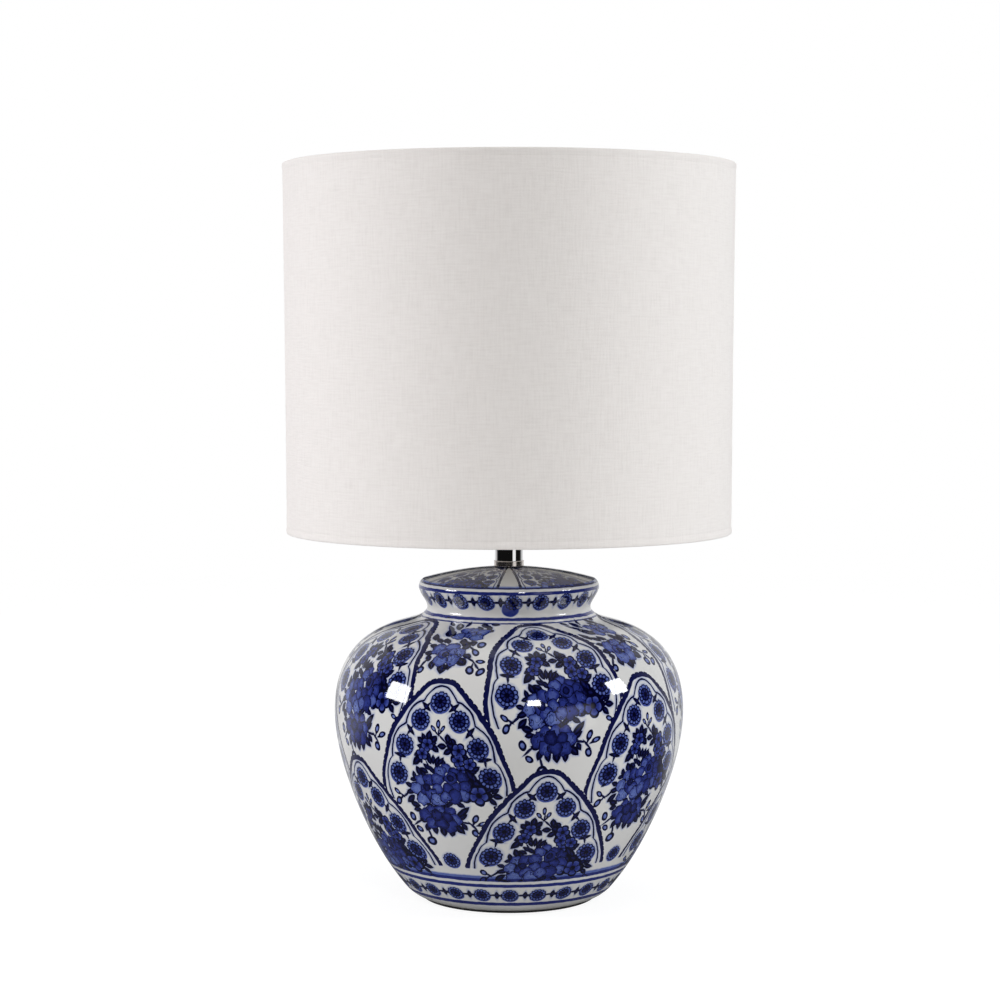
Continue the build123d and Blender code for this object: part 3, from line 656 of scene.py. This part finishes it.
def painting(tree):
    """How dark the blue is at each point of the jar: 0 bare glaze, 1 the outline's navy."""
    skin = Skin(tree)
    spot, on_panel = nearest_panel(skin)
    u, v, _ = parts_of(tree, spot)
    side_u = abs(u)
    mirrored = point(tree, side_u, v)
    wobble, fold = ruffles(skin)

    bare = on_panel * 0.0
    ink = lay_leaves(bare, nearest_leaf(tree, spot, PANEL_LEAVES))
    ink = lay_buds(tree, ink, spot, BUDS)
    ink = lay_flowers(tree, ink, spot, FLOWERS)
    ink = lay_petals(tree, ink, spot, PETALS, wobble, fold)
    ink = lay_leaves(ink, nearest_leaf(tree, mirrored, CHAIN_LEAVES))
    ink = lay_border(skin, ink, spot, side_u, v)

    # Outside the panels: the free sprays on bare glaze
    free = skin.local(*SPRAY)
    own = lay_leaves(bare, nearest_leaf(tree, free, SPRAY_LEAVES))
    own = lay_buds(tree, own, free, SPRAY_BUDS)
    own = lay_petals(tree, own, free, SPRAY_PETALS, wobble, fold)
    ink = mix(on_panel, own, ink)

    # The bands of neck and foot cover the panels, and all rosettes share one drawing
    from_neck = skin.side.above(NECK_BAND[0])
    in_neck = from_neck * skin.side.below(NECK_BAND[1])
    in_foot = skin.side.below(FOOT_BAND)
    cleared = from_neck * skin.side.below(NECK_CLEARED)
    ink = ink * (1.0 - cleared.most(in_foot))
    best = rosette_point(skin, mirrored, on_panel)
    for zone, (middle, step, start, radius) in ((in_neck, NECK_CHAIN), (in_foot, FOOT_CHAIN)):
        own = seen(tree, skin.local(middle, start, step), 0, 0, radius, radius)
        best = mix_pairs(zone, best, own)
        twig = nearest_leaf(tree, skin.local(middle + step / 2, start, step), TWIG)
        ink = mix(zone, ink, lay_leaves(ink, twig))
    ink = lay_rosette(ink, best, wobble * 0.16)
    return lay_runs(skin, lay_rings(skin, ink))


# The painting's colour at each depth of ink, from bare glaze to the outlines
BLUES = [
    (0.0, (0.665, 0.655, 0.635)), (0.16, (0.40, 0.43, 0.55)), (0.36, (0.110, 0.155, 0.41)),
    (0.60, (0.022, 0.034, 0.205)), (0.82, (0.005, 0.007, 0.062)), (1.0, (0.001, 0.001, 0.012)),
]
CLOUDS = [(0.3, (0.965, 0.975, 0.985)), (0.7, (1, 1, 1))]  # faint tints of the whole glaze


def glaze():
    material, tree, shader = finish_of("glaze", Roughness=0.05, IOR=1.53)
    ink = painting(tree)
    # The blue pools and thins a little within each stroke
    pool = noise(tree, place(tree), 420.0)
    depth = ink + (pool - 0.5) * 0.16 * ramp(ink, 0.1, 0.35) * ramp(ink, 0.98, 0.8)
    blue = colours(tree, depth, BLUES)
    tint = tree.nodes.new("ShaderNodeMix")
    tint.data_type = "RGBA"
    tint.blend_type = "MULTIPLY"
    feed(tree, tint.inputs[0], 1.0)
    feed(tree, tint.inputs[6], blue)
    cloud = noise(tree, place(tree), 9.0, 3.0)
    feed(tree, tint.inputs[7], colours(tree, cloud, CLOUDS))
    tree.links.new(tint.outputs[2], shader.inputs["Base Color"])
    swell = noise(tree, place(tree), 26.0, 1.0)
    bump(tree, shader, swell + noise(tree, place(tree), 330.0) * 0.035, 0.0012, 0.35)
    return material


# ---------------------------------------------------------------- plain finishes
def speckled(name, colour, other, scale, grain=0.0, depth=0.0, **settings):
    """A finish whose colour and roughness vary a little, with a fine grain."""
    material, tree, shader = finish_of(name, **settings)
    spots = noise(tree, place(tree), scale, 4.0)
    tree.links.new(colours(tree, spots, [(0.35, colour), (0.65, other)]), shader.inputs["Base Color"])
    rough = settings["Roughness"]
    feed(tree, shader.inputs["Roughness"], ramp(spots, 0.3, 0.7, rough * 0.85, min(1.0, rough * 1.15)))
    if grain:
        bump(tree, shader, noise(tree, place(tree), grain, 3.0), depth)
    return material


def set_finish(material, *names):
    for name in names:
        data = nodes[name].data
        data.materials.clear()
        data.materials.append(material)


set_finish(speckled("chrome_plate", (0.80, 0.80, 0.81), (0.84, 0.84, 0.85), 90.0, Metallic=1.0,
                    Roughness=0.045), "neck_tube", "tube_cap")
set_finish(speckled("nickel_plate", (0.72, 0.66, 0.62), (0.82, 0.77, 0.73), 160.0, Metallic=1.0,
                    Roughness=0.20), "collar")
set_finish(glaze(), "jar")
set_finish(speckled("felt", (0.018, 0.018, 0.022), (0.035, 0.034, 0.038), 900.0, Roughness=0.95,
                    grain=2600.0, depth=0.0005), "felt_pad")
set_finish(speckled("hardboard", (0.16, 0.10, 0.055), (0.24, 0.16, 0.09), 260.0, Roughness=0.8,
                    grain=1500.0, depth=0.0002), "base_board")
set_finish(speckled("rubber", (0.030, 0.030, 0.030), (0.045, 0.045, 0.044), 300.0, Roughness=0.6,
                    grain=900.0, depth=0.0001), "cord_grommet", "clamp_seat", "gasket")
set_finish(speckled("zinc", (0.55, 0.55, 0.52), (0.68, 0.67, 0.62), 160.0, Metallic=1.0,
                    Roughness=0.34, grain=1200.0, depth=0.00004),
           "threaded_rod", "clamp_plate", "lock_washer", "lower_nut", "upper_nut", "lock_screw",
           "terminal_screws")
set_finish(speckled("black_plastic", (0.022, 0.022, 0.023), (0.034, 0.034, 0.035), 400.0,
                    Roughness=0.38, grain=1800.0, depth=0.00003),
           "holder_cap", "holder_shell", "lower_shade_ring", "upper_shade_ring")
set_finish(speckled("white_ceramic", (0.78, 0.75, 0.68), (0.86, 0.84, 0.78), 220.0, Roughness=0.7,
                    grain=1400.0, depth=0.0001), "holder_insert")
set_finish(speckled("brass", (0.76, 0.56, 0.24), (0.86, 0.68, 0.34), 140.0, Metallic=1.0,
                    Roughness=0.22, grain=900.0, depth=0.00003),
           "screw_shell", "contact_base", "centre_contact", "live_terminal", "neutral_terminal",
           "rivets")
set_finish(speckled("white_coat", (0.80, 0.80, 0.79), (0.86, 0.86, 0.85), 500.0, Roughness=0.42,
                    grain=2200.0, depth=0.00004), "shade_frame", "shade_top_wire")
set_finish(speckled("laminate", (0.80, 0.775, 0.74), (0.84, 0.815, 0.78), 60.0, Roughness=0.5,
                    grain=700.0, depth=0.00005), "shade_liner")

# ---------------------------------------------------------------- the shade's linen
cloth_low, cloth_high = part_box("shade_fabric")
SHADE_TOP = cloth_high.z
SHADE_BOTTOM = cloth_low.z
SHADE_RADIUS = cloth_high.x
SHADE_TAPER = 2.0 * MM
SHADE_HOLLOW = 0.3 * MM
CLOTH = 0.6 * MM
WEFT = 0.92 * MM  # two threads
WARP = 0.86 * MM
DRIFT = 1.0 * MM  # how far the threads stray
HEM_DEPTH = 5.6 * MM
HEM_HEIGHT = 9.0 * MM
HEM_ROLL = 0.35 * MM
HEM_BAND = 5.2 * MM
HEM_GROOVE = 0.22 * MM
GROOVE_STEP = 0.4 * MM  # from the roll to the groove's middle
GROOVE_WIDTH = 0.7 * MM
HEM_CORNER = (0.25 * MM, 0.15 * MM)  # where the cloth turns over the wire: inwards, and down
HEM_CREST = 0.3 * MM  # how far the cloth rises over the wire
HEM_CREST_END = 0.6 * MM
HEM_CREST_STEPS = 5
HEM_INNER_CORNER = 1.0 * MM
# Distances from the cloth's edges at which its section has points, in millimetres
EDGE_STEPS = [0.6, 1.2, 2.0, 3.0, 4.0, 4.7, 5.2, 5.6, 6.1, 6.8, 8.0, 12.0]
MIDDLE_STEPS = 12


def linen():
    material, tree, shader = finish_of("linen", Roughness=0.9, Sheen_Weight=0.12, IOR=1.4,
                                       Specular_IOR_Level=0.2)
    uv = tree.nodes.new("ShaderNodeUVMap")
    uv.uv_map = "cloth"
    u, v, _ = parts_of(tree, uv.outputs[0])

    def stretched(across, up, detail=2.0):
        return noise(tree, point(tree, u * across, v * up), 1.0, detail)

    weft = (v + (stretched(14.0, 60.0) - 0.5) * DRIFT).wave("SINE", TAU / WEFT)
    warp = (u + (stretched(60.0, 14.0) - 0.5) * DRIFT).wave("SINE", TAU / WARP)
    over = weft * warp
    slub_across = stretched(70.0, 760.0, 3.0)
    slub_up = stretched(700.0, 60.0, 3.0)
    thick = (slub_across - 0.5) * 0.9 + (slub_up - 0.5) * 0.9
    tone = thick * 0.55 + over * 0.12 + 0.5
    tree.links.new(colours(tree, tone, [
        (0.10, (0.770, 0.728, 0.694)), (0.5, (0.880, 0.836, 0.800)), (0.9, (0.940, 0.905, 0.870)),
    ]), shader.inputs["Base Color"])
    bump(tree, shader, over * 0.5 + thick * 1.3, 0.0002, 0.8)
    return material


def side_radius(height):
    """The cloth's outer radius at a height: a slight taper, hollow in the middle."""
    share = (height - SHADE_BOTTOM) / (SHADE_TOP - SHADE_BOTTOM)
    return SHADE_RADIUS - SHADE_TAPER * (1 - share) - SHADE_HOLLOW * 4 * share * (1 - share)


def hem_swell(inset):
    """How far the cloth stands out at a distance from its edge: a roll, then a fine groove."""
    if inset < HEM_BAND:
        return HEM_ROLL * math.sin(math.pi * min(1.0, inset / HEM_BAND + 0.12)) ** 0.7
    return -HEM_GROOVE * math.exp(-(((inset - HEM_BAND - GROOVE_STEP) / GROOVE_WIDTH) ** 2))


def hem_over_wire(edge, way, thick):
    """The hem over one wire, from outside to its raw edge. edge is the wire's height, way +1 at the
    top and -1 at the bottom, and thick 0 for the cloth's face or its thickness for its back."""
    outside = side_radius(edge) - thick
    inside = side_radius(edge) - HEM_DEPTH + thick
    crest = edge - way * thick
    spots = [(outside - HEM_CORNER[0], crest - way * HEM_CORNER[1])]
    start, end = outside - HEM_CREST_END, inside + HEM_CREST_END
    for k in range(1, HEM_CREST_STEPS + 1):
        share = k / HEM_CREST_STEPS
        drop = HEM_CREST * (1 - math.sin(math.pi * share))
        spots.append((start + (end - start) * share, crest - way * drop))
    spots.append((inside, crest - way * HEM_INNER_CORNER))
    spots.append((inside, edge - way * HEM_HEIGHT))
    return spots


def cloth_line():
    """The linen's section: up the outside, over the wire, down to the hem's raw edge and back."""
    low = [SHADE_BOTTOM + step * MM for step in EDGE_STEPS]
    high = [SHADE_TOP - step * MM for step in reversed(EDGE_STEPS)]
    middle = [low[-1] + (high[0] - low[-1]) * k / MIDDLE_STEPS for k in range(1, MIDDLE_STEPS)]
    outer = []
    for height in low + middle + high:
        inset = min(height - SHADE_BOTTOM, SHADE_TOP - height)
        outer.append((side_radius(height) + hem_swell(inset), height))
    back = [(radius - CLOTH, height) for radius, height in reversed(outer[3:-3])]
    return (outer + hem_over_wire(SHADE_TOP, 1, 0) + hem_over_wire(SHADE_TOP, 1, CLOTH)[::-1]
            + back + hem_over_wire(SHADE_BOTTOM, -1, CLOTH)
            + hem_over_wire(SHADE_BOTTOM, -1, 0)[::-1])


def lathe(name, line, steps):
    """A closed ring swept round the axis from the back, where its seam is. line is (radius, height)
    in metres, and its UVs run in metres."""
    mesh = bpy.data.meshes.new(name)
    made = bmesh.new()
    uv = made.loops.layers.uv.new("cloth")
    count = len(line)
    rows = [[made.verts.new((-r * math.sin(TAU * k / steps), r * math.cos(TAU * k / steps), z))
             for r, z in line] for k in range(steps)]
    gone = [0.0]
    for start, end in zip(line, line[1:] + line[:1]):
        gone.append(gone[-1] + math.dist(start, end))
    girth = TAU * max(r for r, _ in line)
    for k in range(steps):
        for i in range(count):
            j = (i + 1) % count
            face = made.faces.new((rows[k][i], rows[(k + 1) % steps][i],
                                   rows[(k + 1) % steps][j], rows[k][j]))
            face.smooth = True
            corners = ((k, gone[i]), (k + 1, gone[i]), (k + 1, gone[i + 1]), (k, gone[i + 1]))
            for loop, (turn, rise) in zip(face.loops, corners):
                loop[uv].uv = (girth * turn / steps, rise)
    made.normal_update()
    bmesh.ops.recalc_face_normals(made, faces=made.faces)
    made.to_mesh(mesh)
    made.free()
    piece = bpy.data.objects.new(name, mesh)
    bpy.context.scene.collection.objects.link(piece)
    return piece


shade = lathe("linen_shade", cloth_line(), 240)
shade.data.materials.append(linen())
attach(shade, "shade")
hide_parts("shade_fabric")

# ---------------------------------------------------------------- floor, light and camera
FLOOR_RADIUS = 3.0
FLOOR_DROP = 0.0002
FLOOR_FADE = (1.0, 2.8)  # it turns clear between these distances
FLOOR_GLOW = 0.86  # with what the lights add, white to the camera
FLOOR_SHADOW = 0.22  # how much of the light, and so of the shadow, the camera sees on it
FLOOR_BOUNCE = 0.68  # what it throws back on the lamp
FLOOR_BEHIND = 0.70  # what shiny pieces see of it behind the lamp
ROOM_BEHIND = 0.80  # how bright shiny pieces see the room behind the lamp
ROOM_IN_FRONT = 0.006
WINDOW_BEARING = 44.0

scene = bpy.context.scene
scene.view_settings.view_transform = "Standard"


def rays(tree):
    """1 for the rays that see the background as it is, and 1 for reflections."""
    path = tree.nodes.new("ShaderNodeLightPath").outputs
    direct = Num(tree, path["Is Camera Ray"]).most(Num(tree, path["Is Transmission Ray"]))
    return direct, Num(tree, path["Is Glossy Ray"])


def mix_shaders(tree, share, first, second):
    node = tree.nodes.new("ShaderNodeMixShader")
    feed(tree, node.inputs[0], share)
    tree.links.new(first, node.inputs[1])
    tree.links.new(second, node.inputs[2])
    return node.outputs[0]


def diffuse(tree, grey):
    node = tree.nodes.new("ShaderNodeBsdfDiffuse")
    feed(tree, node.inputs[0], point(tree, grey, grey, grey))
    return node.outputs[0]


def floor_finish():
    """White with the lamp's shadow to the camera, darker in front to shiny pieces, clear far away
    and from below."""
    material = bpy.data.materials.new("floor")
    material.use_nodes = True
    tree = material.node_tree
    tree.nodes.clear()
    direct, glossy = rays(tree)
    away = vector_math(tree, "LENGTH", place(tree))
    behind = ramp(parts_of(tree, place(tree))[1], 0.0, 0.35)
    in_front = ramp(away, 0.08, 0.40, 0.18, 0.03)
    bounce = mix(glossy, FLOOR_BOUNCE, mix(behind, in_front, FLOOR_BEHIND))
    glow = tree.nodes.new("ShaderNodeEmission")
    glow.inputs[1].default_value = FLOOR_GLOW
    white = tree.nodes.new("ShaderNodeAddShader")
    tree.links.new(diffuse(tree, FLOOR_SHADOW), white.inputs[0])
    tree.links.new(glow.outputs[0], white.inputs[1])
    pale = mix_shaders(tree, direct, diffuse(tree, bounce), white.outputs[0])
    underside = Num(tree, tree.nodes.new("ShaderNodeNewGeometry").outputs["Backfacing"])
    clear = tree.nodes.new("ShaderNodeBsdfTransparent").outputs[0]
    seen_floor = mix_shaders(tree, ramp(away, *FLOOR_FADE).most(underside), pale, clear)
    out = tree.nodes.new("ShaderNodeOutputMaterial")
    tree.links.new(seen_floor, out.inputs[0])
    return material


def stage_floor():
    mesh = bpy.data.meshes.new("floor")
    made = bmesh.new()
    bmesh.ops.create_circle(made, cap_ends=True, segments=96, radius=FLOOR_RADIUS)
    made.to_mesh(mesh)
    made.free()
    floor = bpy.data.objects.new("floor", mesh)
    scene.collection.objects.link(floor)
    floor.location.z = -FLOOR_DROP
    mesh.materials.append(floor_finish())


def studio(fill):
    """White to the camera. Shiny pieces see a room that is bright behind the lamp and dark in front,
    with a window strip, and soft light comes from all sides, most from above."""
    world = bpy.data.worlds.new("studio")
    scene.world = world
    world.use_nodes = True
    tree = world.node_tree
    back = tree.nodes["Background"]
    back.inputs["Color"].default_value = (1, 1, 1, 1)
    direct, glossy = rays(tree)
    x, y, z = parts_of(tree, tree.nodes.new("ShaderNodeTexCoord").outputs["Generated"])
    turn = bearing(x, y)
    room = ramp(abs(turn), 100.0, 140.0, ROOM_IN_FRONT, ROOM_BEHIND)
    # A dark stripe straight behind, above the horizon
    room = room * ramp(abs(turn), 166.0, 174.0, 1.0, ramp(z, 0.0, 0.05, 1.0, 0.05))
    window = ramp(abs(turn - WINDOW_BEARING), 15.0, 11.0) * ramp(z, 0.28, 0.20)
    room = room.most(window).most(ramp(z, 0.55, 0.9, 0.0, 0.30))
    soft = ramp(z, 0.0, 0.35, fill, fill * 4.0) * ramp(z, 0.7, 0.9, 1.0, 2.0)
    feed(tree, back.inputs["Strength"], mix(direct, mix(glossy, soft, room), 1.0))


def lamp(name, azimuth, elevation, away, width, height, power, tint=(1, 1, 1)):
    """A softbox that looks at the middle of the lamp."""
    aim = Vector((0, 0, 0.30))
    a, e = math.radians(azimuth), math.radians(elevation)
    way = Vector((math.sin(a) * math.cos(e), -math.cos(a) * math.cos(e), math.sin(e)))
    light = bpy.data.lights.new(name, "AREA")
    light.shape = "RECTANGLE"
    light.size, light.size_y = width, height
    light.energy = power
    light.color = tint
    made = bpy.data.objects.new(name, light)
    scene.collection.objects.link(made)
    made.location = aim + way * away
    made.rotation_euler = way.to_track_quat("Z", "Y").to_euler()


stage_floor()
studio(0.115)
lamp("left_box", -79.8, 15.0, 2.0, 0.60, 0.56, 21.2, (0.955, 0.96, 1.0))
lamp("right_box", 79.7, 21.0, 2.0, 0.48, 0.50, 17.1, (0.925, 0.958, 1.0))
lamp("front_box", 15.7, 16.0, 2.3, 0.33, 0.22, 8.8)

# The photograph's viewpoint: the camera looks down by its pitch
CAMERA_PLACE = (-0.007, -1.8899, 0.4304)
CAMERA_PITCH = 3.623
camera_data = bpy.data.cameras.new("camera")
camera_data.sensor_width = 36.0
camera_data.lens = 87.3
camera = bpy.data.objects.new("camera", camera_data)
scene.collection.objects.link(camera)
camera.location = CAMERA_PLACE
camera.rotation_euler = (math.radians(90.0 - CAMERA_PITCH), 0.0, 0.0)
scene.camera = camera
